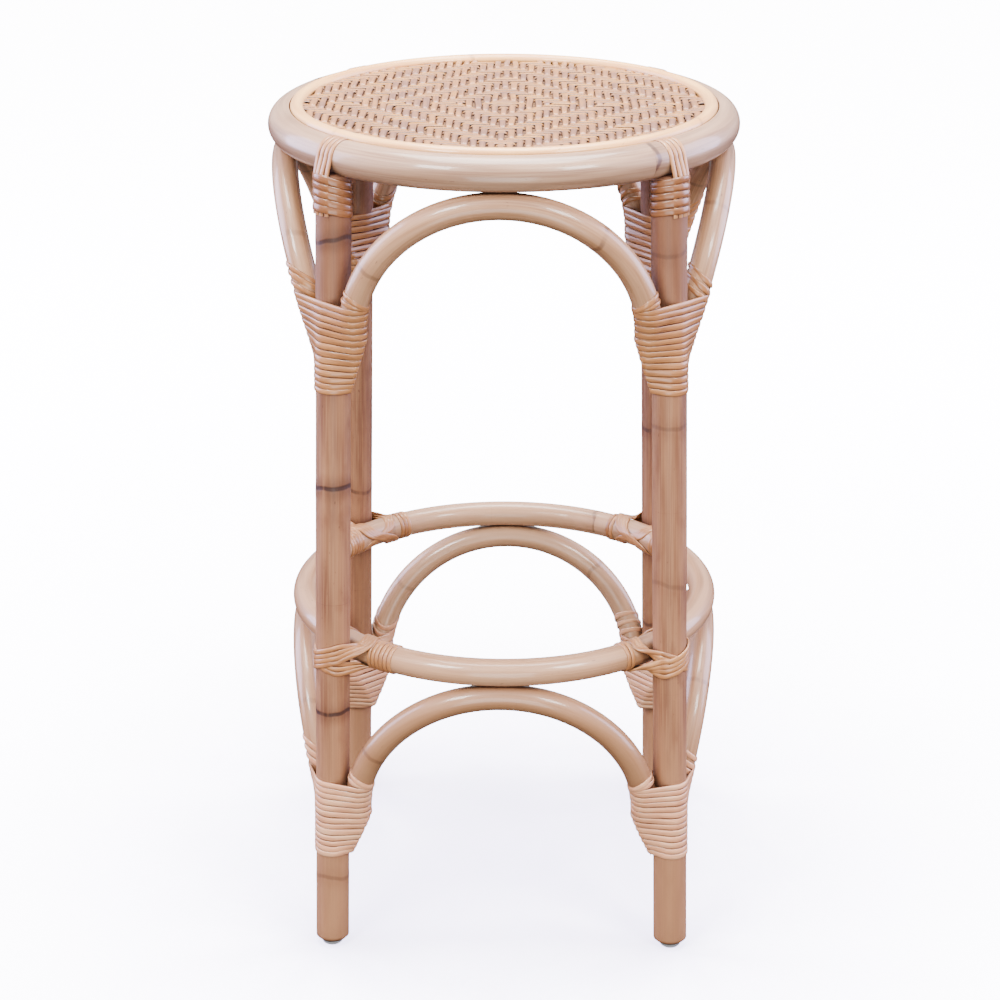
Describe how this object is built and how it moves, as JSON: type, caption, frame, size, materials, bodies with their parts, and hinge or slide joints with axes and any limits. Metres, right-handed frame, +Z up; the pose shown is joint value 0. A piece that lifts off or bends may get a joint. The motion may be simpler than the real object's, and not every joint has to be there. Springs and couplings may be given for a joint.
{
  "type": "bar stool",
  "caption": "Backless rattan bar stool with a round woven seat, splayed pole legs, a footrest ring and bent arches bound on with wound cane",
  "frame": {"origin": "on the floor, on the stool's axis, midway between the four glides", "axes": "+Z up along the stool's height, front faces -Y, +X to the right as seen from the front"},
  "size_m": [0.409, 0.409, 0.75],
  "materials": {
    "leg_rattan": "whole rattan pole, skin on, clear lacquer, satin",
    "seat_ring_rattan": "peeled pale rattan pole, clear lacquer, semi-gloss",
    "bezel_rattan": "peeled pale rattan pole, clear lacquer, semi-gloss",
    "woven_cane": "flat rattan strips in a diamond twill, clear lacquer",
    "plywood": "birch plywood, sanded",
    "rail_rattan": "whole rattan pole, clear lacquer, satin",
    "footrest_rattan": "peeled rattan pole, clear lacquer, semi-gloss",
    "arch_rattan": "peeled rattan pole, clear lacquer, semi-gloss",
    "binding_cane": "wound split cane, skin out, clear lacquer, semi-gloss",
    "glide_plastic": "moulded grey nylon",
    "screw_steel": "zinc-plated steel",
    "nail_steel": "bright wire nails, dulled"
  },
  "bodies": {
    "root": {"leg_front_right": "leg_rattan", "leg_back_right": "leg_rattan", "leg_back_left": "leg_rattan", "leg_front_left": "leg_rattan", "seat_ring": "seat_ring_rattan", "seat_bezel": "bezel_rattan", "seat_weave": "woven_cane", "seat_panel": "plywood", "seat_rail_left": "rail_rattan", "seat_rail_right": "rail_rattan", "footrest_ring": "footrest_rattan", "upper_arch_front": "arch_rattan", "upper_arch_right": "arch_rattan", "upper_arch_back": "arch_rattan", "upper_arch_left": "arch_rattan", "lower_arch_front": "arch_rattan", "lower_arch_right": "arch_rattan", "lower_arch_back": "arch_rattan", "lower_arch_left": "arch_rattan", "seat_binding_front_right": "binding_cane", "seat_binding_back_right": "binding_cane", "seat_binding_back_left": "binding_cane", "seat_binding_front_left": "binding_cane", "upper_binding_front_right": "binding_cane", "upper_binding_back_right": "binding_cane", "upper_binding_back_left": "binding_cane", "upper_binding_front_left": "binding_cane", "footrest_binding_front_right": "binding_cane", "footrest_binding_back_right": "binding_cane", "footrest_binding_back_left": "binding_cane", "footrest_binding_front_left": "binding_cane", "lower_binding_front_right": "binding_cane", "lower_binding_back_right": "binding_cane", "lower_binding_back_left": "binding_cane", "lower_binding_front_left": "binding_cane", "glide_front_right": "glide_plastic", "glide_back_right": "glide_plastic", "glide_back_left": "glide_plastic", "glide_front_left": "glide_plastic", "seat_screws": "screw_steel", "footrest_screws": "screw_steel", "upper_arch_nails": "nail_steel", "lower_arch_nails": "nail_steel", "rail_nails": "nail_steel", "panel_nails": "nail_steel", "bezel_brads": "nail_steel", "glide_nails": "nail_steel"}
  },
  "joints": []
}
